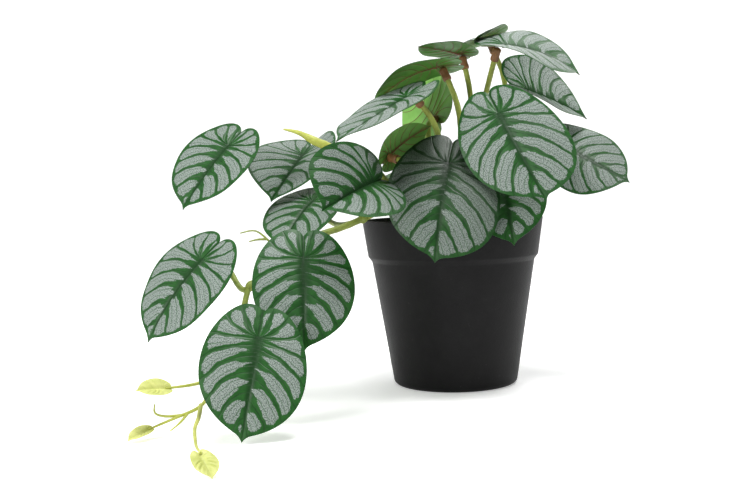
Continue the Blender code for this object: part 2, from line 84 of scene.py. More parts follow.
# every leaf: heart is where the stem meets the blade and tip is the blade's point, in millimetres. Angles are
# in degrees, slide moves each half along the midrib, silver is the share of the upper face that the patches
# cover, and shaded gives the upper face a painted shadow, darkest at the heart. Root is where its stem leaves
# the filler, and joint is the point of the vine or branch that it grows from
leafPlaces = {
    "leaf_front_low": dict(heart=(-1, -52, 149), tip=(-11, -74, 86), roll=-15, droop=35, fold=8, cup=25,
                           slide=(0.05, 0.35), silver=0.65, shaded=True, root=(-4, -24)),
    "leaf_front_high": dict(heart=(28, -58, 178), tip=(56, -78, 122), roll=70, droop=30, fold=8, cup=15,
                            width=0.74, slide=(0.0, 0.5), silver=0.6, root=(9, -22)),
    "leaf_rim_right": dict(heart=(30, -47, 138), tip=(37, -69, 95), roll=15, droop=30, fold=8, cup=25,
                           silver=0.3, root=(22, -20)),
    "leaf_right": dict(heart=(70, 0, 158), tip=(114, -20, 131), roll=45, droop=5, fold=0, cup=20, width=0.78,
                       slide=(0.1, 0.0), silver=0.75, root=(29, -6)),
    "leaf_right_high": dict(heart=(51, 34, 197), tip=(92, 14, 174), roll=28, droop=15, fold=30, cup=5,
                            slide=(0.5, -1.0), silver=0.75, root=(24, 6)),
    "leaf_top": dict(heart=(33, 0, 223), tip=(83, -25, 200), roll=15, droop=35, fold=14, cup=12, width=0.8,
                     slide=(0.6, -0.75), root=(13, -6)),
    "leaf_top_left": dict(heart=(9, 22, 221), tip=(-20, 0, 224.5), roll=9, droop=10, fold=4, cup=8,
                          width=0.75, root=(3, 14)),
    "leaf_top_back": dict(heart=(28, 52, 234), tip=(17, 13, 229), roll=22, droop=20, fold=8, cup=15,
                          width=0.72, root=(12, 24)),
    "leaf_crown_left": dict(heart=(-5, -10, 210), tip=(-51, -8, 184), roll=8, droop=50, fold=5, cup=15,
                            root=(-2, -10)),
    "leaf_long_left": dict(heart=(-24, -40, 190), tip=(-69, -70, 161), roll=-4, droop=0, fold=8, cup=12,
                           width=0.76, silver=0.8, root=(-13, -16)),
    "leaf_arching": dict(heart=(-9, 14, 177), tip=(-33, 52, 200), roll=105, droop=15, fold=5, cup=10,
                         lean=50, tone=0.9, root=(-6, 4)),
    "leaf_inner": dict(heart=(-40, -34, 151), tip=(-12, -18, 171), roll=-75, droop=50, fold=5, cup=15,
                       width=0.45, tone=0.6, root=(-22, -6)),
    "leaf_back_left": dict(heart=(-26, 46, 141), tip=(-50, 78, 110), roll=0, droop=40, fold=8, cup=20,
                           root=(-20, 16)),
    "leaf_back": dict(heart=(-4, 57, 154), tip=(-6, 97, 114), roll=0, droop=40, fold=8, cup=20, width=0.76,
                      root=(-4, 26)),
    "leaf_back_right": dict(heart=(27, 54, 142), tip=(44, 86, 100), roll=8, droop=40, fold=8, cup=20,
                            width=0.72, root=(24, 20)),
    "leaf_vine_1": dict(heart=(-45, -72.5, 136), tip=(-72, -123, 120.5), roll=-56, droop=28, fold=33, cup=26,
                        width=0.81, slide=(0.43, 0.42), twist=-20, silver=0.25, joint=3),
    "leaf_vine_2": dict(heart=(-87, -36, 126), tip=(-105, -72, 97), roll=-3, droop=20, fold=12, cup=20,
                        width=0.82, slide=(0.0, 0.2), silver=0.4, joint=4),
    "leaf_vine_3": dict(heart=(-86, -102, 96), tip=(-84, -128, 42), roll=-3, droop=20, fold=6, cup=15,
                        width=0.77, slide=(0.0, 0.1), silver=0.1, joint=6),
    "leaf_vine_4": dict(heart=(-146, -92, 95), tip=(-179, -106, 46), roll=-26, droop=25, fold=5, cup=15,
                        width=0.88, silver=0.7, joint=9),
    "leaf_vine_5": dict(heart=(-106, -142, 56), tip=(-113, -166, 0.8), roll=-22, droop=20, fold=5, cup=15,
                        width=0.76, slide=(0.0, 0.15), silver=0.25, joint=11),
    "leaf_branch_1": dict(heart=(-97, -3, 156.5), tip=(-114, -44, 125), roll=-7, droop=8, fold=27, cup=10,
                          width=0.79, slide=(0.4, -0.3), twist=26, silver=0.85, joint=7),
    "leaf_branch_2": dict(heart=(-138, -45, 163), tip=(-165, -68, 122), roll=-22, droop=15, fold=10, cup=15,
                          joint=9),
}
# what a leaf has where its row doesn't say, with the tilt of its sleeve and, as tone, the share of painted
# backlight that makes its underside paler
usual = dict(width=0.83, lean=20.0, tone=0.25, silver=0.5)


# one socket of a node tree, so that sums are written as they are worked out
class Wire:
    def __init__(self, tree, socket=None):
        self.tree = tree
        self.socket = socket

    def node(self, kind, settings=None, sockets=None, output=0):
        made = self.tree.nodes.new(kind)
        for key, value in (settings or {}).items():
            setattr(made, key, value)
        for key, value in (sockets or {}).items():
            if isinstance(value, Wire):
                self.tree.links.new(value.socket, made.inputs[key])
            else:
                made.inputs[key].default_value = value
        return Wire(self.tree, made.outputs[output])

    def math(self, operation, *values):
        return self.node("ShaderNodeMath", {"operation": operation}, dict(enumerate(values)))

    def __add__(self, other):
        return self.math("ADD", self, other)

    def __radd__(self, other):
        return self.math("ADD", other, self)

    def __sub__(self, other):
        return self.math("SUBTRACT", self, other)

    def __rsub__(self, other):
        return self.math("SUBTRACT", other, self)

    def __mul__(self, other):
        return self.math("MULTIPLY", self, other)

    def __rmul__(self, other):
        return self.math("MULTIPLY", other, self)

    def magnitude(self):
        return self.math("ABSOLUTE", self)

    # 0 halfway between two whole numbers and 1 at them
    def fromMiddle(self):
        return (self.math("FRACT", self) * 2.0 - 1.0).magnitude()

    # 0 below low and 1 above high, with a soft step between
    def step(self, low, high):
        return self.node("ShaderNodeMapRange", {"interpolation_type": "SMOOTHSTEP"},
                         {"Value": self, "From Min": low, "From Max": high})

    # this wire's value picks between two colours, or says how much the first is multiplied by the second
    def tint(self, first, second, blend="MIX"):
        sockets = {"Factor": self}
        for key, colour in ((6, first), (7, second)):
            sockets[key] = colour if isinstance(colour, Wire) else (*colour, 1.0)
        return self.node("ShaderNodeMix", {"data_type": "RGBA", "blend_type": blend}, sockets, 2)

    def noise(self, place, scale, detail=3.0, roughness=0.5):
        return self.node("ShaderNodeTexNoise", None,
                         {"Vector": place, "Scale": scale, "Detail": detail, "Roughness": roughness})

    def part(self, axis):
        return self.node("ShaderNodeSeparateXYZ", None, {"Vector": self}, axis)


# a material with its shader, a wire to start nodes from and its object coordinates
def newMaterial(name, gloss=0.5):
    material = bpy.data.materials.new(name)
    material.use_nodes = True
    tree = material.node_tree
    shader = tree.nodes["Principled BSDF"]
    shader.inputs["Specular IOR Level"].default_value = gloss
    wire = Wire(tree)
    place = wire.node("ShaderNodeTexCoord", output=3)
    return material, shader, wire, place


def feed(shader, socket, wire):
    wire.tree.links.new(wire.socket, shader.inputs[socket])


def feedBump(shader, height, strength, distance):
    bump = height.node("ShaderNodeBump", None, {"Height": height, "Strength": strength, "Distance": distance})
    feed(shader, "Normal", bump)


# a node tree with named inputs and one geometry output
def newTree(name, inputs):
    tree = bpy.data.node_groups.new(name, "GeometryNodeTree")
    for label, kind in inputs.items():
        tree.interface.new_socket(label, in_out="INPUT", socket_type="NodeSocket" + kind)
    tree.interface.new_socket("Geometry", in_out="OUTPUT", socket_type="NodeSocketGeometry")
    start = tree.nodes.new("NodeGroupInput")
    end = tree.nodes.new("NodeGroupOutput")
    wires = {label: Wire(tree, start.outputs[label]) for label in inputs}
    return tree, wires, end


def closeTree(tree, geometry, finish, end):
    solid = geometry.node("GeometryNodeRealizeInstances", None, {"Geometry": geometry})
    smooth = solid.node("GeometryNodeSetShadeSmooth", None, {"Geometry": solid})
    finished = smooth.node("GeometryNodeSetMaterial", None, {"Geometry": smooth, "Material": finish})
    tree.links.new(finished.socket, end.inputs[0])


# runs a node tree on a piece of data, and gives the plain mesh that comes out
def grown(name, data, tree, values):
    carrier = newObject(name + "Carrier", data)
    modifier = carrier.modifiers.new("grow", "NODES")
    modifier.node_group = tree
    for item in tree.interface.items_tree:
        if item.item_type == "SOCKET" and item.in_out == "INPUT" and item.name in values:
            modifier[item.identifier] = values[item.name]
    bpy.context.view_layer.update()
    depsgraph = bpy.context.evaluated_depsgraph_get()
    mesh = bpy.data.meshes.new_from_object(carrier.evaluated_get(depsgraph))
    carrier.modifiers.remove(modifier)
    bpy.data.objects.remove(carrier)
    mesh.name = name
    return mesh


# several meshes as one piece, which rides on the root and stands for a solid of the model
def addPiece(name, meshes, node):
    pieces = [newObject(name, mesh) for mesh in meshes]
    piece = pieces[0]
    if len(pieces) > 1:
        with bpy.context.temp_override(active_object=piece, selected_editable_objects=pieces):
            bpy.ops.object.join()
    piece.name = name
    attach(piece, "root")
    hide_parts(node)


# merges the points that meet, and shades smooth up to an angle in degrees
def weld(mesh, sharpAngle=50.0, nearest=0.000005, shortest=0.000001):
    welded = bmesh.new()
    welded.from_mesh(mesh)
    bmesh.ops.remove_doubles(welded, verts=welded.verts, dist=nearest)
    bmesh.ops.dissolve_degenerate(welded, edges=welded.edges, dist=shortest)
    welded.to_mesh(mesh)
    welded.free()
    mesh.shade_smooth()
    mesh.set_sharp_from_angle(angle=math.radians(sharpAngle))


def bezierPoint(a, b, c, d, t):
    r = 1.0 - t
    return a * r ** 3 + 3.0 * b * r * r * t + 3.0 * c * r * t * t + d * t ** 3


# smooth path through all the points, with some rings between each two
def smoothPath(points, rings):
    places = [Vector(point) for point in points]
    path = [places[0]]
    for i in range(len(places) - 1):
        before = places[max(i - 1, 0)]
        after = places[min(i + 2, len(places) - 1)]
        leave = places[i] + (places[i + 1] - before) / 6.0
        arrive = places[i + 1] - (after - places[i]) / 6.0
        for ring in range(1, rings + 1):
            path.append(bezierPoint(places[i], leave, arrive, places[i + 1], ring / rings))
    return path


# the blade is one long from lobe to tip, and its stem is set in at the origin, with y towards the tip. Its
# thickness, relief and grooves are in millimetres
blade = dict(tip=0.79, halfWidth=0.415, wave=0.012, waves=2.5,
             outline=(((0.0, -0.145), (0.015, -0.185), (0.05, -0.21), (0.10, -0.21)),
                      ((0.10, -0.21), (0.25, -0.21), (0.415, 0.0), (0.415, 0.26)),
                      ((0.415, 0.26), (0.415, 0.50), (0.24, 0.65), (0.06, 0.73)),
                      ((0.06, 0.73), (0.035, 0.742), (0.012, 0.765), (0.0, 0.79))),
             outlineStarts=(0.0, 0.12, 0.5, 0.92, 1.0),
             thickness=0.6, rimThickness=0.3,
             veins=9.5, fan=0.04, heartShare=0.28, sweepOut=0.66, sweepUp=0.12, sideShift=0.35,
             relief=0.6, pillowLevel=0.6, reliefFade=0.25, groove=0.45, grooveWidth=1.4, rows=64, columns=24,
             budRows=30, budColumns=12, budTone=0.5)


def marginPoints(s):
    points = np.zeros((len(s), 2))
    starts = blade["outlineStarts"]
    for piece, low, high in zip(blade["outline"], starts, starts[1:]):
        inside = (s >= low) & (s <= high)
        t = ((s[inside] - low) / (high - low))[:, None]
        points[inside] = bezierPoint(*(np.array(point) for point in piece), t)
    return points


# flat place of the points that lie a share w along the vein that ends at s on the margin
def flatPoints(w, s):
    edge = marginPoints(s)
    share = np.clip((s - blade["heartShare"]) / (1.0 - blade["heartShare"]), 0.0, 1.0)
    foot = blade["fan"] + (blade["tip"] - blade["fan"]) * share ** 2.0
    bendX = blade["sweepOut"] * edge[:, 0]
    bendY = foot + blade["sweepUp"] * (edge[:, 1] - foot)
    x = 2.0 * w * (1.0 - w) * bendX + w * w * edge[:, 0]
    y = (1.0 - w) ** 2 * foot + 2.0 * w * (1.0 - w) * bendY + w * w * edge[:, 1]
    return x, y


# how far a point lies from the nearest main vein: 1 on the vein, 0 halfway to the next
def veinNearness(u, s):
    turn = s * blade["veins"] + np.where(u > 0.0, blade["sideShift"], 0.0)
    return np.abs(2.0 * (turn - np.floor(turn)) - 1.0)


def midribPlace(y, droop):
    bend = np.where(y < 0.0, 0.6, 1.0) * droop / blade["tip"] + 1e-6
    return np.sin(bend * y) / bend, (np.cos(bend * y) - 1.0) / bend, bend * y


# points of a leaf's upper face and their normals, in the blade's own frame
def bladeSurface(leaf, u, s, relief):
    w = np.abs(u)
    side = np.where(u > 0.0, 1.0, -1.0)
    x, y = flatPoints(w, s)
    slide = leaf.get("slide", (0.0, 0.0))
    y = y + np.where(u > 0.0, slide[0], slide[1]) * x
    fold = math.radians(leaf["fold"])
    curl = math.radians(leaf["cup"]) / blade["halfWidth"]
    turn = fold - curl * x
    out = (math.sin(fold) - np.sin(turn)) / curl
    high = (np.cos(turn) - math.cos(fold)) / curl
    high = high + blade["wave"] * (x / blade["halfWidth"]) ** 2 * np.sin(math.tau * blade["waves"] * s + u)
    high = high + relief
    out = out * side * leaf.get("width", usual["width"]) / usual["width"]
    along, drop, slope = midribPlace(y, math.radians(leaf["droop"]))
    twist = math.radians(leaf.get("twist", 0.0)) * y / blade["tip"]
    lean = -np.sin(turn) * side * np.clip(x / 0.03, 0.0, 1.0)
    tilt = np.sqrt(1.0 - lean ** 2)
    out, high = out * np.cos(twist) - high * np.sin(twist), out * np.sin(twist) + high * np.cos(twist)
    lean, tilt = lean * np.cos(twist) - tilt * np.sin(twist), lean * np.sin(twist) + tilt * np.cos(twist)
    points = np.stack([out, along + np.sin(slope) * high, drop + np.cos(slope) * high], axis=1)
    normals = np.stack([lean, np.sin(slope) * tilt, np.cos(slope) * tilt], axis=1)
    return points, normals, x, y


# where a blade's own frame stands: its heart, its turn and its length in millimetres
def leafFrame(leaf):
    heart = Vector(leaf["heart"])
    reach = Vector(leaf["tip"]) - heart
    along, drop, slope = midribPlace(np.array([blade["tip"]]), math.radians(leaf["droop"]))
    forward = reach.normalized()
    facing = (up - forward * up.dot(forward)).normalized()
    facing.rotate(Matrix.Rotation(math.radians(leaf["roll"]), 3, forward))
    dip = math.atan2(drop[0], along[0])
    length = reach.length / math.hypot(drop[0], along[0])
    ahead = forward * math.cos(dip) - facing * math.sin(dip)
    normal = forward * math.sin(dip) + facing * math.cos(dip)
    return heart, Matrix((ahead.cross(normal), ahead, normal)).transposed(), length


# direction in which a leaf's sleeve runs away from the blade
def sleeveHeading(leaf):
    turn = leafFrame(leaf)[1]
    lean = math.radians(leaf.get("lean", usual["lean"]))
    return turn @ Vector((0.0, -math.sin(lean), -math.cos(lean)))


def toWorld(leaf, points):
    heart, turn, length = leafFrame(leaf)
    return (points * length) @ np.array(turn).T + np.array(heart)


# embossed relief of the blade: raised between the veins, and sunk along them and the midrib
def bladeRelief(u, s, length):
    w = np.abs(u)
    x, _ = flatPoints(w, s)
    fade = blade["reliefFade"]
    window = np.clip(w / fade, 0.0, 1.0) * np.clip((1.0 - w) / fade, 0.0, 1.0)
    pillow = 1.0 - veinNearness(u, s) ** 3.0 - blade["pillowLevel"]
    sunk = np.exp(-(x * length / blade["grooveWidth"]) ** 2)
    return (blade["relief"] * pillow * window * (1.0 - sunk) - blade["groove"] * sunk) / length


# how far flat points lie from the margin, in blade lengths
def marginDistance(x, y):
    margin = marginPoints(np.linspace(0.0, 1.0, 161))
    spans = np.stack([x, y], axis=1)[:, None, :] - margin[None, :, :]
    return np.sqrt((spans ** 2).sum(axis=2)).min(axis=1)


# a blade with its upper and lower finish. Its maps hold the place along the veins, the distance from the
# margin with the silver share on the upper face and the share of painted backlight on the lower face, and
# the flat place, with lengths in tenths of a metre
def bladeMesh(name, leaf, finishes, rows, columns, tone, silver, seed):
    length = leafFrame(leaf)[2]
    u, s = np.meshgrid(np.linspace(-1.0, 1.0, 2 * columns + 1), np.linspace(0.0, 1.0, rows + 1))
    u = u.ravel()
    s = s.ravel()
    top, normals, x, y = bladeSurface(leaf, u, s, bladeRelief(u, s, length))
    depth = blade["rimThickness"] + (blade["thickness"] - blade["rimThickness"]) * (1.0 - np.abs(u) ** 6)
    under = top - normals * (depth / length)[:, None]
    points = np.concatenate([toWorld(leaf, top), toWorld(leaf, under)]) * mm
    across = 2 * columns + 1
    row, column = np.meshgrid(np.arange(rows), np.arange(2 * columns), indexing="ij")
    first = (row * across + column).ravel()
    upper = np.stack([first, first + 1, first + across + 1, first + across], axis=1)
    lower = upper[:, ::-1] + len(u)
    edge = np.arange(rows) * across
    right = edge + across - 1
    rimLeft = np.stack([edge, edge + across, edge + across + len(u), edge + len(u)], axis=1)
    rimRight = np.stack([right, right + len(u), right + across + len(u), right + across], axis=1)
    faces = np.concatenate([upper, lower, rimLeft, rimRight])
    mesh = newMesh(name, points.tolist(), faces.tolist(), finishes)
    corners = faces.ravel() % len(u)
    fromEdge = marginDistance(*flatPoints(np.abs(u), s)) * length / 100.0
    share = np.full(len(corners), tone)
    share[:4 * len(upper)] = silver
    sideways = np.where(u > 0.0, x, -x) * length / 100.0
    along = y * length / 100.0 + seed
    maps = {"vein": (u[corners], s[corners]), "measure": (fromEdge[corners], share),
            "flat": (sideways[corners], along[corners])}
    for label, pair in maps.items():
        layer = mesh.uv_layers.new(name=label)
        layer.data.foreach_set("uv", np.stack(pair, axis=1).ravel().astype(np.float32))
    slots = np.zeros(len(faces), dtype=np.int32)
    slots[len(upper):2 * len(upper)] = 1
    mesh.polygons.foreach_set("material_index", slots)
    weld(mesh)
    return mesh


# a poly curve through paths in millimetres, each with its own radii
def pathCurve(name, paths, radii):
    curve = bpy.data.curves.new(name, "CURVE")
    curve.dimensions = "3D"
    for path, sizes in zip(paths, radii):
        spline = curve.splines.new("POLY")
        spline.points.add(len(path) - 1)
        for point, place, radius in zip(spline.points, path, sizes):
            point.co = (*(Vector(place) * mm), 1.0)
            point.radius = radius
    return curve


# tubes along paths, in a little uneven thickness
def tubeTree():
    tree, wires, end = newTree("tubesAlongPaths", {
        "Geometry": "Geometry", "Sides": "Int", "Spacing": "Float", "Uneven": "Float", "Finish": "Material"})
    path = wires["Geometry"].node("GeometryNodeResampleCurve", {"mode": "LENGTH"},
                                  {"Curve": wires["Geometry"], "Length": wires["Spacing"]})
    radius = path.node("GeometryNodeInputRadius")
    place = path.node("GeometryNodeInputPosition")
    lumps = path.noise(place, 260.0) - 0.5
    ring = path.node("GeometryNodeCurvePrimitiveCircle", None, {"Resolution": wires["Sides"], "Radius": mm})
    tube = path.node("GeometryNodeCurveToMesh", None, {
        "Curve": path, "Profile Curve": ring, "Fill Caps": True,
        "Scale": radius * (1.0 + lumps * wires["Uneven"])})
    closeTree(tree, tube, wires["Finish"], end)
    return tree


# a profile of (radius, height) points turned about the upright axis
def turnedTree():
    tree, wires, end = newTree("turnedProfile", {
        "Geometry": "Geometry", "Sides": "Int", "Finish": "Material"})
    ring = wires["Sides"].node("GeometryNodeCurvePrimitiveCircle", None,
                               {"Resolution": wires["Sides"], "Radius": mm})
    turned = ring.node("GeometryNodeCurveToMesh", None, {"Curve": ring, "Profile Curve": wires["Geometry"]})
    joined = turned.node("GeometryNodeMergeByDistance", None, {"Geometry": turned, "Distance": 0.000002})
    closeTree(tree, joined, wires["Finish"], end)
    return tree


# crumbs strewn over a surface
def crumbTree():
    tree, wires, end = newTree("crumbsOnSurface", {
        "Geometry": "Geometry", "PerSquareMetre": "Float", "Smallest": "Float", "Largest": "Float",
        "Seed": "Int", "Finish": "Material"})
    spread = wires["Geometry"].node("GeometryNodeDistributePointsOnFaces", None, {
        "Mesh": wires["Geometry"], "Density": wires["PerSquareMetre"], "Seed": wires["Seed"]})
    crumb = spread.node("GeometryNodeMeshIcoSphere", None, {"Radius": 1.0, "Subdivisions": 2})
    noise = crumb.node("ShaderNodeTexNoise", None, {"Scale": 1.1}, 1)
    shift = noise.node("ShaderNodeVectorMath", {"operation": "MULTIPLY_ADD"}, {
        0: noise, 1: (0.9, 0.9, 0.9), 2: (-0.45, -0.45, -0.45)})
    rough = crumb.node("GeometryNodeSetPosition", None, {"Geometry": crumb, "Offset": shift})
    turn = spread.node("FunctionNodeRandomValue", {"data_type": "FLOAT_VECTOR"}, {
        0: (0.0, 0.0, 0.0), 1: (math.tau, math.tau, math.tau), 8: 3})
    size = spread.node("FunctionNodeRandomValue", {"data_type": "FLOAT"}, {
        2: wires["Smallest"], 3: wires["Largest"], 8: 5}, 1)
    strewn = spread.node("GeometryNodeInstanceOnPoints", None, {
        "Points": spread, "Instance": rough, "Rotation": turn, "Scale": size})
    closeTree(tree, strewn, wires["Finish"], end)
    return tree


tubes = tubeTree()
turnedShape = turnedTree()
crumbs = crumbTree()


# hollow sleeve by which a leaf is pushed on its stem: radius and distance below the blade
sleeve = dict(profile=((0.0, -1.3), (0.7, -1.5), (1.4, -1.9), (2.3, -2.4), (2.9, -3.1), (2.6, -5.0),
                       (2.6, -7.8), (2.85, -8.3), (2.9, -9.6), (2.75, -10.6), (2.45, -11.0), (2.0, -10.9),
                       (2.0, -6.0), (0.0, -6.0)),
              sides=20)


def sleeveMesh(name, leaf, finish):
    sides = sleeve["sides"]
    angles = np.linspace(0.0, math.tau, sides, endpoint=False)
    heading = sleeveHeading(leaf)
    turn = np.array((-heading).to_track_quat("Z", "Y").to_matrix())
    points = []
    for radius, height in sleeve["profile"]:
        ring = np.stack([radius * np.cos(angles), radius * np.sin(angles), np.full(sides, height)], axis=1)
        points.append(ring @ turn.T + np.array(leaf["heart"]))
    points = np.concatenate(points) * mm
    faces = []
    for level in range(len(sleeve["profile"]) - 1):
        for i in range(sides):
            j = (i + 1) % sides
            low = level * sides
            faces.append((low + j, low + i, low + sides + i, low + sides + j))
    mesh = newMesh(name, points.tolist(), faces, [finish])
    weld(mesh)
    return mesh


# raised ribs under a blade, the midrib and the main veins, in millimetres and in shares of the blade
ribs = dict(midrib=0.7, midribEnd=0.2, vein=0.3, veinEnd=0.1, sink=0.6, midribTo=0.97, midribPoints=30,
            veinFrom=0.04, veinTo=0.93, veinPoints=16, firstEnd=0.03, lastEnd=0.93, sides=6, spacing=1.6)


def ribMesh(name, leaf, finish):
    length = leafFrame(leaf)[2]
    paths = []
    sizes = []

    def addRib(u, s, first, last):
        radii = np.linspace(first, last, len(u))
        top, normals, _, _ = bladeSurface(leaf, u, s, bladeRelief(u, s, length))
        below = (blade["rimThickness"] + radii * ribs["sink"]) / length
        paths.append(toWorld(leaf, top - normals * below[:, None]))
        sizes.append(radii)

    s = np.linspace(blade["heartShare"], ribs["midribTo"], ribs["midribPoints"])
    addRib(np.full(len(s), 1e-6), s, ribs["midrib"], ribs["midribEnd"])
    reach = np.linspace(ribs["veinFrom"], ribs["veinTo"], ribs["veinPoints"])
    for side in (-1.0, 1.0):
        shift = blade["sideShift"] if side > 0.0 else 0.0
        for number in range(1, math.ceil(blade["veins"])):
            end = (number - shift) / blade["veins"]
            if ribs["firstEnd"] < end < ribs["lastEnd"]:
                addRib(side * reach, np.full(len(reach), end), ribs["vein"], ribs["veinEnd"])
    return grown(name, pathCurve(name, paths, sizes), tubes, {
        "Sides": ribs["sides"], "Spacing": ribs["spacing"] * mm, "Uneven": 0.0, "Finish": finish})


# finish of the leaves: colours are linear red, green and blue, and widths are in millimetres. The shaded
# colour is a painted shadow, and the pale underside colour is painted backlight
leafLook = dict(green=(0.0085, 0.056, 0.0085), edgeGreen=(0.015, 0.082, 0.013),
                deepGreen=(0.0032, 0.022, 0.0035), silver=(0.235, 0.275, 0.25),
                silverShade=(0.046, 0.068, 0.05), shaded=(0.22, 0.26, 0.21), under=(0.022, 0.125, 0.008),
                underPaintedBacklight=(0.19, 0.41, 0.085), underMottle=(0.62, 0.72, 0.55), rib=(0.085, 0.035, 0.012),
                roughness=0.4, gloss=0.24, underGloss=0.3, wander=0.35, feather=8.0, fray=0.42, edgeBand=1.5,
                midribBand=1.3, heartGreen=5.5, heartShade=9.0, tipSilver=3.2, fineVeins=3.0, grain=0.9)


# wires of the three maps that bladeMesh makes, and of the turn that counts the main veins
def leafMaps(wire):
    vein, flat, measure = (wire.node("ShaderNodeUVMap", {"uv_map": label})
                           for label in ("vein", "flat", "measure"))
    u = vein.part(0)
    turn = vein.part(1) * blade["veins"] + u.math("GREATER_THAN", u, 0.0) * blade["sideShift"]
    return vein, flat, measure, turn


# the print is multiplied by a painted shadow colour, most at the heart, and white leaves it as it is
def makeLeafTop(name, paintedShadow):
    material, shader, wire, _ = newMaterial(name, leafLook["gloss"])
    vein, flat, measure, turn = leafMaps(wire)
    w = vein.part(0).magnitude()
    turn = turn + (flat.noise(flat, 9.0, 2.0) - 0.5) * leafLook["wander"]
    near = turn.fromMiddle()
    # streaks run along the veins and feather the ends of the patches
    streakPlace = wire.node("ShaderNodeCombineXYZ", None, {0: turn * 6.0, 1: w * 2.6, 2: flat.part(1) * 0.4})
    streak = wire.noise(streakPlace, 1.6, 4.0, 0.6) - 0.5
    fromMidrib = flat.part(0).magnitude() * 100.0
    fromEdge = measure.part(0) * 100.0
    fill = measure.part(1) - 0.5
    outward = fromMidrib * 0.45 + w * 15.0 + fill * 5.0
    outward = outward - (1.0 - vein.part(1).step(0.15, 0.5)) * leafLook["heartGreen"]
    outward = outward + vein.part(1).step(0.45, 0.9) * leafLook["tipSilver"]
    opening = (outward + streak * leafLook["feather"] - near * 1.5 - leafLook["midribBand"]).step(-0.5, 9.0)
    broad = opening * (fill * 0.2 + 0.62) + w.step(0.0, 1.0) * 0.2
    patch = (broad + streak * leafLook["fray"] - near).step(-0.03, 0.06)
    inset = fromEdge - near * near * (2.2 - fill * 3.0) + fill * 1.2 + streak * 3.0
    edge = inset.step(leafLook["edgeBand"], leafLook["edgeBand"] + 0.5)
    clear = (fromMidrib + streak * 2.0).step(leafLook["midribBand"] - 0.5, leafLook["midribBand"] + 0.3)
    silver = patch * edge * clear
    # fine side veins between the main ones
    fineTurn = turn * leafLook["fineVeins"] + 0.5
    line = (1.0 - (fineTurn.fromMiddle() + streak * 0.12).step(0.04, 0.16)) * vein.part(1).step(0.0, 0.4)
    silver = silver * (1.0 - line * (0.95 - w * 0.35))
    grainNoise = flat.noise(flat, 150.0, 2.0, 0.7)
    grain = grainNoise.step(0.47, 0.58)
    silverTone = (grain * leafLook["grain"]).tint(leafLook["silver"], leafLook["silverShade"])
    # darkest green along the veins and the midrib, and painted shade round the heart
    mottle = flat.noise(flat, 22.0, 3.0)
    greenTone = mottle.step(0.3, 0.7).tint(leafLook["green"], leafLook["edgeGreen"])
    midline = (1.0 - fromMidrib.step(0.25, 1.1)) * (0.65 - vein.part(1) * 0.5)
    darkVein = (1.0 - near).step(0.0, 0.1)
    heartPlace = wire.node("ShaderNodeCombineXYZ", None, {0: fromMidrib, 1: w * 40.0})
    fromHeart = heartPlace.node("ShaderNodeVectorMath", {"operation": "LENGTH"}, {0: heartPlace}, 1)
    heartShade = (1.0 - (fromHeart + streak * 3.0).step(0.0, leafLook["heartShade"])) * 0.75
    depth = midline.math("MAXIMUM", midline, (1.0 - darkVein) * 0.55)
    depth = depth.math("MAXIMUM", depth, heartShade)
    greenTone = depth.tint(greenTone, leafLook["deepGreen"])
    # painted shadow, full at the heart and fading towards the tip
    shade = 1.0 - vein.part(1).step(0.3, 0.95) * 0.85
    feed(shader, "Base Color", shade.tint(silver.tint(greenTone, silverTone), paintedShadow, "MULTIPLY"))
    feed(shader, "Roughness", silver * 0.1 + leafLook["roughness"] + (mottle - 0.5) * 0.16)
    sunk = near.step(0.86, 1.0) * fromMidrib.step(1.5, 6.0)
    height = grainNoise * 0.25 + flat.noise(flat, 45.0, 3.0) * 0.5 - sunk * 0.6
    feedBump(shader, height - line * 0.4, strength=0.45, distance=0.0004)
    return material


def makeLeafUnder():
    material, shader, wire, _ = newMaterial("leafUnder", leafLook["underGloss"])
    _, flat, measure, turn = leafMaps(wire)
    near = turn.fromMiddle()
    mottle = flat.noise(flat, 14.0, 4.0)
    # each leaf's tone mixes the underside's own green towards a paler green, which is painted backlight
    tone = measure.part(1).tint(leafLook["under"], leafLook["underPaintedBacklight"])
    mottled = (mottle.step(0.3, 0.75) * 0.35).tint(tone, leafLook["underMottle"], "MULTIPLY")
    stained = (near.step(0.9, 0.985) * 0.55).tint(mottled, leafLook["rib"])
    fromMidrib = flat.part(0).magnitude() * 100.0
    stain = (1.0 - (fromMidrib + (mottle - 0.5) * 3.0).step(0.4, 2.6)) * 0.6
    feed(shader, "Base Color", stain.tint(stained, leafLook["rib"]))
    feed(shader, "Roughness", mottle * 0.2 + leafLook["roughness"])
    feedBump(shader, flat.noise(flat, 60.0, 3.0), strength=0.4, distance=0.0003)
    return material


# finishes of the stems, sleeves and ribs, with the size of their streaks
stemLooks = {
    "ribBrown": dict(dark=(0.085, 0.034, 0.014), light=(0.20, 0.085, 0.030), roughness=0.5, scale=90.0),
    "sleeveBrown": dict(dark=(0.12, 0.055, 0.022), light=(0.27, 0.125, 0.045), roughness=0.48, scale=90.0),
    "stemGreen": dict(dark=(0.19, 0.22, 0.035), light=(0.36, 0.43, 0.085), roughness=0.5, scale=90.0),
    "vineOlive": dict(dark=(0.15, 0.19, 0.032), light=(0.31, 0.36, 0.08), roughness=0.5, scale=90.0),
    "sheathYellow": dict(dark=(0.33, 0.36, 0.05), light=(0.48, 0.50, 0.11), roughness=0.5, scale=60.0),
}


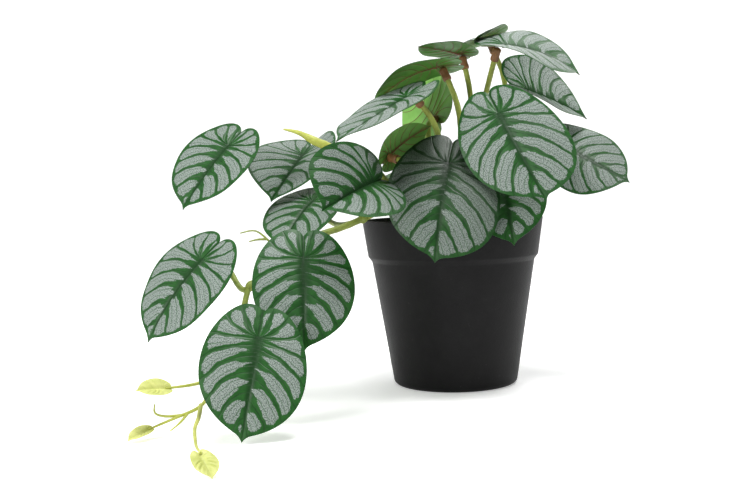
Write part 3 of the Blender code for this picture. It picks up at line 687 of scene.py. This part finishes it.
# moulded plastic of one colour family, streaked along with lighter and darker tones
def makeStemFinish(name):
    look = stemLooks[name]
    material, shader, wire, place = newMaterial(name, 0.35)
    stretched = wire.node("ShaderNodeMapping", None, {"Vector": place, "Scale": (1.0, 1.0, 0.25)})
    streak = stretched.noise(stretched, look["scale"], 4.0, 0.6)
    speck = place.noise(place, look["scale"] * 12.0, 2.0, 0.6)
    lightShare = streak.step(0.32, 0.68) * 0.8 + speck.step(0.45, 0.6) * 0.2
    feed(shader, "Base Color", lightShare.tint(look["dark"], look["light"]))
    feed(shader, "Roughness", streak * 0.2 + (look["roughness"] - 0.1))
    feedBump(shader, speck + streak * 2.0, strength=0.3, distance=0.0003)
    return material


youngLook = dict(deep=(0.45, 0.49, 0.12), pale=(0.60, 0.62, 0.21), line=(0.24, 0.32, 0.055), veins=7.0,
                 lineShare=0.2, roughness=0.38, gloss=0.35)


def makeYoungLeaf():
    material, shader, wire, place = newMaterial("youngLeaf", youngLook["gloss"])
    mottle = place.noise(place, 110.0, 3.0)
    tone = mottle.step(0.3, 0.7).tint(youngLook["deep"], youngLook["pale"])
    vein, flat = (wire.node("ShaderNodeUVMap", {"uv_map": label}) for label in ("vein", "flat"))
    near = (vein.part(1) * youngLook["veins"]).fromMiddle()
    feed(shader, "Base Color", (near.step(0.8, 0.98) * youngLook["lineShare"]).tint(tone, youngLook["line"]))
    feed(shader, "Roughness", mottle * 0.2 + youngLook["roughness"])
    feedBump(shader, near.step(0.7, 1.0) + flat.noise(flat, 60.0) * 0.5, strength=0.2, distance=0.0002)
    return material


potLook = dict(black=(0.0030, 0.0030, 0.0032), worn=(0.0072, 0.0072, 0.0074), dust=(0.028, 0.028, 0.027),
               wornShare=0.7, dustShare=0.6, roughness=0.42, gloss=0.14)


def makePotFinish():
    material, shader, _, place = newMaterial("potPlastic", potLook["gloss"])
    grain = place.noise(place, 900.0, 3.0, 0.6)
    scuff = place.noise(place, 45.0, 5.0, 0.65)
    # pale dust specks sit in the scuffed parts
    speck = place.noise(place, 520.0, 2.0, 0.5).step(0.68, 0.74) * scuff.step(0.45, 0.7)
    dull = (scuff.step(0.35, 0.75) * potLook["wornShare"]).tint(potLook["black"], potLook["worn"])
    feed(shader, "Base Color", (speck * potLook["dustShare"]).tint(dull, potLook["dust"]))
    feed(shader, "Roughness", scuff * 0.16 + potLook["roughness"] + grain * 0.06)
    feedBump(shader, grain + scuff * 0.6, strength=0.4, distance=0.0003)
    return material


fillerLook = dict(dark=(0.006, 0.005, 0.004), light=(0.050, 0.036, 0.025), roughness=0.7, gloss=0.3)


def makeFillerFinish():
    material, shader, _, place = newMaterial("darkFiller", fillerLook["gloss"])
    grain = place.noise(place, 420.0, 5.0, 0.7)
    patch = place.noise(place, 60.0, 3.0)
    tone = (grain * 0.7 + patch * 0.3).step(0.35, 0.7).tint(fillerLook["dark"], fillerLook["light"])
    feed(shader, "Base Color", tone)
    feed(shader, "Roughness", grain * 0.25 + fillerLook["roughness"])
    feedBump(shader, grain, strength=0.6, distance=0.0006)
    return material


leafTop = makeLeafTop("leafTop", (1.0, 1.0, 1.0))
# a copy of the upper face with a painted shadow, for a leaf that lies in the shade of the others
leafTopPaintedShade = makeLeafTop("leafTopPaintedShade", leafLook["shaded"])
leafUnder = makeLeafUnder()
ribBrown, sleeveBrown, stemGreen, vineOlive, sheathYellow = (makeStemFinish(name) for name in stemLooks)
youngLeaf = makeYoungLeaf()
potPlastic = makePotFinish()
darkFiller = makeFillerFinish()
print("materials ready")


# stems in millimetres: shoots and tendrils have a radius at each end, and knots the half lengths and shares
# of the stem's radius at their ends and middle
stems = dict(rootRadius=2.3, tipRadius=1.75, endRadius=1.6, fillerTop=95.0, rootDepth=13.7, footRise=1.0,
             sleeveLength=11.0, sleeveRoof=3.5, sleeveGap=2.0, pull=0.4, sides=14, spacing=1.8, uneven=0.22,
             uprightRings=14, stalkRings=12, routeRings=4, thinRings=6, shootRadii=(1.32, 0.605),
             tendrilRadii=(0.84, 0.35), fineSpacing=1.2, sheathRings=3, sheathUneven=0.3, shootUneven=0.2,
             knotLengths=(3.0, 1.2), knotShares=(0.8, 1.25))

# routes in millimetres
vineRoute = (
    (-22, -24, 81), (-24, -26, 97), (-32, -34, 115), (-42, -42, 118), (-55, -55, 113), (-68, -66, 108),
    (-81, -76, 104), (-96, -86, 94), (-108, -94, 83), (-118, -100, 77), (-121, -106, 66), (-123, -114, 51),
    (-130, -122, 34),
)
vineTendrils = (
    ((-98, -88, 93), (-106, -96, 102), (-114, -99, 109), (-123, -100, 108)),
    ((-108, -97, 104), (-113, -99, 104), (-118, -100, 103)),
)
branchRoute = (
    (-27, 4, 81), (-29, 4, 97), (-37, 2, 125), (-49, -5, 143), (-58, -8, 150), (-68, -6, 152),
    (-80, 3, 149), (-96, 11, 145), (-112, 8, 148), (-129, -13, 155),
)
sheathRoute = ((-58, -8, 150), (-69, -28, 155), (-85, -35, 162), (-96, -33, 168), (-107, -28, 171))
sheathRadii = (0.8, 1.4, 1.9, 2.3, 2.7, 2.9, 2.8, 2.4, 1.9, 1.5, 1.1, 0.8, 0.4)
shootRoutes = (
    ((-130.2, -122.3, 33.4), (-137, -131, 20), (-142, -139, 14), (-153, -145, 10), (-166.5, -151.8, 5.3)),
    ((-141, -137, 15), (-138, -155, 12), (-136, -172, 10), (-129, -198, 8), (-121, -221, 10)),
    ((-132, -125, 30), (-143, -137, 27), (-157.5, -147.7, 26.8)),
)
shootLeaves = {
    "budLow": dict(heart=(-121, -221.5, 9), tip=(-113.5, -230, 0.6), roll=0, droop=10, fold=10, cup=10,
                   width=0.75),
    "budFar": dict(heart=(-167, -152, 5), tip=(-176, -160, 1.5), roll=-20, droop=10, fold=15, cup=10,
                   width=0.6),
    "budHigh": dict(heart=(-158, -148, 27), tip=(-171, -157, 28), roll=-40, droop=10, fold=15, cup=10,
                    width=0.6),
}
shootTendrils = (
    ((-149, -143, 11), (-158, -146, 11), (-164, -147, 13), (-164, -147, 18)),
    ((-147, -142, 12), (-150, -148, 8), (-155, -151, 4)),
)


# path from a start and heading into a leaf's sleeve
def stalkPath(start, heading, leaf, rings):
    heart = Vector(leaf["heart"])
    away = sleeveHeading(leaf)
    mouth = heart + away * (stems["sleeveLength"] + stems["sleeveGap"])
    reach = (mouth - start).length * stems["pull"]
    path = [bezierPoint(start, start + heading * reach, mouth + away * reach, mouth, ring / rings)
            for ring in range(rings + 1)]
    path.append(heart + away * stems["sleeveRoof"])
    return path


def tapered(path, first, last):
    return [first + (last - first) * i / (len(path) - 1) for i in range(len(path))]


def tubeMesh(name, paths, radii, finish, spacing=None, uneven=None):
    return grown(name, pathCurve(name, paths, radii), tubes, {
        "Sides": stems["sides"], "Spacing": (spacing or stems["spacing"]) * mm,
        "Uneven": stems["uneven"] if uneven is None else uneven, "Finish": finish})


# small knot where a stalk leaves the vine
def knot(place, heading, radius):
    far, close = stems["knotLengths"]
    thin, thick = (radius * share for share in stems["knotShares"])
    return [place + heading * shift for shift in (-far, -close, close, far)], [thin, thick, thick, thin]


def makeLeaf(name, leaf, tone, seed):
    silver = leaf.get("silver", usual["silver"])
    finishes = (leafTopPaintedShade if leaf.get("shaded") else leafTop, leafUnder)
    meshes = [bladeMesh(name, leaf, finishes, blade["rows"], blade["columns"], tone, silver, seed),
              sleeveMesh(name + "Sleeve", leaf, sleeveBrown), ribMesh(name + "Ribs", leaf, ribBrown)]
    addPiece(name + "Fine", meshes, name)


def makeUprightStem(name, leaf):
    rootX, rootY = leaf["root"]
    root = Vector((rootX, rootY, stems["fillerTop"] - stems["rootDepth"]))
    start = Vector((rootX, rootY, stems["fillerTop"] + stems["footRise"]))
    path = [root] + stalkPath(start, up, leaf, stems["uprightRings"])
    mesh = tubeMesh(name, [path], [tapered(path, stems["rootRadius"], stems["tipRadius"])], stemGreen)
    addPiece(name + "Fine", [mesh], name)


# thin shoots or tendrils along their routes, added to the paths and radii that there are
def addThin(paths, radii, routes, ends):
    for route in routes:
        path = smoothPath(route, stems["thinRings"])
        paths.append(path)
        radii.append(tapered(path, *ends))


def makeBranch(name, route, leaves, tendrils):
    path = smoothPath(route, stems["routeRings"])
    paths = [path]
    radii = [tapered(path, stems["rootRadius"], stems["endRadius"])]
    for leaf in leaves:
        index = leaf["joint"] * stems["routeRings"]
        heading = (path[min(index + 2, len(path) - 1)] - path[index - 2]).normalized()
        stalk = stalkPath(path[index], heading, leaf, stems["stalkRings"])
        paths.append(stalk)
        radii.append(tapered(stalk, stems["tipRadius"], stems["tipRadius"]))
        ends, sizes = knot(path[index], heading, stems["rootRadius"])
        paths.append(ends)
        radii.append(sizes)
    addThin(paths, radii, tendrils, stems["tendrilRadii"])
    return tubeMesh(name, paths, radii, vineOlive)


def makeSheath():
    fine = smoothPath(smoothPath(sheathRoute, stems["sheathRings"]), stems["sheathRings"])
    radii = np.interp(np.linspace(0.0, 1.0, len(fine)), np.linspace(0.0, 1.0, len(sheathRadii)), sheathRadii)
    return tubeMesh("sheath", [fine], [radii.tolist()], sheathYellow, stems["fineSpacing"],
                    stems["sheathUneven"])


def makeYoungShoots():
    paths = []
    radii = []
    addThin(paths, radii, shootRoutes, stems["shootRadii"])
    addThin(paths, radii, shootTendrils, stems["tendrilRadii"])
    meshes = [tubeMesh("youngShoots", paths, radii, sheathYellow, stems["fineSpacing"], stems["shootUneven"])]
    for name, leaf in shootLeaves.items():
        meshes.append(bladeMesh(name, leaf, (youngLeaf, youngLeaf), blade["budRows"], blade["budColumns"],
                                blade["budTone"], usual["silver"], 0))
    addPiece("youngShootsFine", meshes, "young_shoots")


for number, (name, leaf) in enumerate(leafPlaces.items()):
    makeLeaf(name, leaf, leaf.get("tone", usual["tone"]), number)
print("leaves ready")
for name, leaf in leafPlaces.items():
    if "root" in leaf:
        makeUprightStem(name.replace("leaf", "stem"), leaf)
vineLeaves = [leaf for name, leaf in leafPlaces.items() if name.startswith("leaf_vine")]
branchLeaves = [leaf for name, leaf in leafPlaces.items() if name.startswith("leaf_branch")]
addPiece("vineFine", [makeBranch("vine", vineRoute, vineLeaves, vineTendrils)], "vine")
branchMesh = makeBranch("branch", branchRoute, branchLeaves, ())
addPiece("branchFine", [branchMesh, makeSheath()], "branch")
makeYoungShoots()
print("stems ready")


# radii and heights of the pot in millimetres, then the sizes of its rounded corners
pot = dict(height=110.0, rim=60.0, rimLow=56.5, rimDepth=24.3, stepDepth=3.4, body=54.0, foot=41.0, wall=1.8,
           floor=2.4, footInset=3.0, footRing=4.0, footRise=1.8, soleInset=1.6, recess=1.2, boss=12.0,
           corner=2.0, lip=0.8, innerLip=0.64, innerCorner=1.0, rimCorner=0.45, stepCorner=0.7,
           footCorner=0.9, soleCorner=1.0, bossCorner=0.5, steps=5, sides=144, sharpAngle=40.0)


# heights of the step's foot and of the rim's lower edge
def potLevels():
    rimLow = pot["height"] - pot["rimDepth"]
    return rimLow - pot["stepDepth"], rimLow


# outer radius of the pot at a height
def potRadius(height):
    heights = (0.0, *potLevels(), pot["height"])
    return float(np.interp(height, heights, (pot["foot"], pot["body"], pot["rimLow"], pot["rim"])))


# points of a rounded corner between two straight edges
def roundCorner(before, corner, after, size):
    before, corner, after = (Vector(point) for point in (before, corner, after))
    start = corner + (before - corner).normalized() * size
    end = corner + (after - corner).normalized() * size
    return [tuple(start * (1 - t) ** 2 + corner * 2 * t * (1 - t) + end * t * t)
            for t in (i / pot["steps"] for i in range(pot["steps"] + 1))]


# the pot's wall from the middle of its floor, up the inside, down the outside and back under it
def potProfile():
    stepLow, rimLow = potLevels()
    foot = pot["foot"] - pot["footInset"]
    ring = foot - pot["footRing"]
    wall = pot["wall"]
    corners = [
        ((potRadius(0.0) - wall, pot["floor"]), pot["corner"]),
        ((potRadius(stepLow) - wall, stepLow), pot["innerCorner"]),
        ((potRadius(rimLow) - wall, rimLow), pot["innerCorner"]),
        ((pot["rim"] - wall, pot["height"]), pot["innerLip"]),
        ((pot["rim"], pot["height"]), pot["lip"]),
        ((pot["rimLow"], rimLow), pot["rimCorner"]),
        ((pot["body"], stepLow), pot["stepCorner"]),
        ((potRadius(pot["footRise"]), pot["footRise"]), pot["footCorner"]),
        ((foot + pot["soleInset"], 0.0), pot["soleCorner"]),
        ((ring, 0.0), pot["bossCorner"]),
        ((ring - pot["recess"], pot["recess"]), pot["bossCorner"]),
        ((pot["boss"] + pot["recess"], pot["recess"]), pot["bossCorner"]),
        ((pot["boss"], 0.0), pot["bossCorner"]),
    ]
    places = [(0.0, pot["floor"])] + [corner for corner, _ in corners] + [(0.0, 0.0)]
    profile = [places[0]]
    for i, (corner, size) in enumerate(corners, start=1):
        profile += roundCorner(places[i - 1], corner, places[i + 1], size)
    profile.append(places[-1])
    return profile


# the turning tree takes x as the way out from its ring, which is one millimetre wide, and -y as the way up
def turnedMesh(name, profile, sides, finish, axisGap=0.0005):
    path = [(max(radius, axisGap) - 1.0, -height, 0.0) for radius, height in profile]
    return grown(name, pathCurve(name, [path], [[1.0] * len(path)]), turnedShape,
                 {"Sides": sides, "Finish": finish})


# filler in millimetres, with its crumbs for each square metre and their radii in metres
filler = dict(top=95.0, edgeDrop=3.0, clearance=0.5, sink=0.2, flatRadius=30.0, slopeWidth=26.0, rings=26,
              edgeInset=0.5, edgeRound=1.0, floorGap=0.4, footCut=2.0, lump=1.1, hills=0.35, settle=0.3,
              lumpDepth=0.8, crumbDepth=5.0, sides=96, sharpAngle=80.0, crumbDensity=130000.0,
              smallest=0.0006, largest=0.0017, seed=11)


# the filler from the middle of its top, out, down beside the pot's wall and back to the middle
def fillerProfile():
    stepLow, rimLow = potLevels()
    gap = pot["wall"] + filler["clearance"]
    bottom = pot["floor"] + filler["floorGap"]
    edge = filler["top"] - filler["edgeDrop"]
    top = filler["top"] - filler["sink"]
    slope = filler["edgeDrop"] / filler["slopeWidth"]
    profile = [(radius, top - slope * max(radius - filler["flatRadius"], 0.0))
               for radius in np.linspace(0.0, potRadius(edge) - gap - filler["edgeInset"], filler["rings"])]
    cut = filler["footCut"]
    profile += [(potRadius(edge) - gap, edge - filler["edgeRound"]), (potRadius(rimLow) - gap, rimLow),
                (potRadius(stepLow) - gap, stepLow), (potRadius(bottom + cut) - gap, bottom + cut),
                (potRadius(bottom) - gap - cut, bottom), (0.0, bottom)]
    return profile


def makePot():
    mesh = turnedMesh("potShell", potProfile(), pot["sides"], potPlastic)
    weld(mesh, pot["sharpAngle"])
    addPiece("potFine", [mesh], "pot")


def makeFiller():
    body = turnedMesh("fillerBody", fillerProfile(), filler["sides"], darkFiller)
    for vertex in body.vertices:
        x, y, z = vertex.co / mm
        if z > filler["top"] - filler["edgeDrop"] - filler["lumpDepth"]:
            hills = math.sin(x * 0.23) * math.cos(y * 0.27 + 1.0) + 0.6 * math.sin(x * 0.61 + y * 0.47)
            vertex.co.z += filler["lump"] * (filler["hills"] * hills - filler["settle"]) * mm
    weld(body, filler["sharpAngle"])
    surface = body.copy()
    trimmed = bmesh.new()
    trimmed.from_mesh(surface)
    lowest = (filler["top"] - filler["crumbDepth"]) * mm
    hidden = [face for face in trimmed.faces if face.calc_center_median().z < lowest]
    bmesh.ops.delete(trimmed, geom=hidden, context="FACES")
    trimmed.to_mesh(surface)
    trimmed.free()
    strewn = grown("crumbs", surface, crumbs, {
        "PerSquareMetre": filler["crumbDensity"], "Smallest": filler["smallest"],
        "Largest": filler["largest"], "Seed": filler["seed"], "Finish": darkFiller})
    addPiece("soilFine", [body, strewn], "soil")


makePot()
makeFiller()
print("pot ready")


# studio in metres: every lamp has its place, size and power, and the floor its sweep up into the backdrop
studio = dict(sky=0.34, white=(1.0, 1.0, 1.0, 1.0), aim=(-0.03, 0.0, 0.12),
              lamps=(("keyLamp", (0.1, -0.2, 1.25), 0.45, 15.5), ("leftLamp", (-0.8, -0.7, 0.55), 0.5, 7.5),
                     ("backLamp", (0.2, 0.8, 0.9), 0.8, 3.0)),
              half=3.0, below=0.0004, bendStart=1.2, bend=0.6, bendSteps=12,
              floorTones=((0.92, 0.92, 0.92), (0.94, 0.94, 0.94)), floorGlow=0.38)


def makeLamps():
    for name, place, size, power in studio["lamps"]:
        data = bpy.data.lights.new(name, "AREA")
        data.size = size
        data.energy = power
        lamp = newObject(name, data)
        lamp.location = place
        lamp.rotation_euler = (Vector(studio["aim"]) - Vector(place)).to_track_quat("-Z", "Y").to_euler()
    world = bpy.data.worlds.new("studio")
    scene.world = world
    world.use_nodes = True
    background = world.node_tree.nodes["Background"]
    background.inputs["Color"].default_value = studio["white"]
    background.inputs["Strength"].default_value = studio["sky"]


# floor that sweeps up into a backdrop behind the plant
def makeFloor():
    half, below, start, bend = (studio[key] for key in ("half", "below", "bendStart", "bend"))
    angles = [math.pi / 2.0 * i / studio["bendSteps"] for i in range(studio["bendSteps"] + 1)]
    profile = [(-half, -below)] + [(start + bend * math.sin(angle), bend * (1.0 - math.cos(angle)) - below)
                                   for angle in angles] + [(start + bend, half)]
    points = [(x, y, z) for y, z in profile for x in (-half, half)]
    faces = [(2 * i, 2 * i + 1, 2 * i + 3, 2 * i + 2) for i in range(len(profile) - 1)]
    material, shader, _, place = newMaterial("paleFloor", 0.2)
    tone = place.noise(place, 3.0).tint(*studio["floorTones"])
    feed(shader, "Base Color", tone)
    feed(shader, "Roughness", tone.part(0) * 0.2 + 0.6)
    shader.inputs["Emission Color"].default_value = studio["white"]
    shader.inputs["Emission Strength"].default_value = studio["floorGlow"]
    mesh = newMesh("floor", points, faces, [material])
    mesh.shade_smooth()
    floor = newObject("floor", mesh)


makeLamps()
makeFloor()
scene.view_settings.view_transform = "Standard"
print("studio ready")
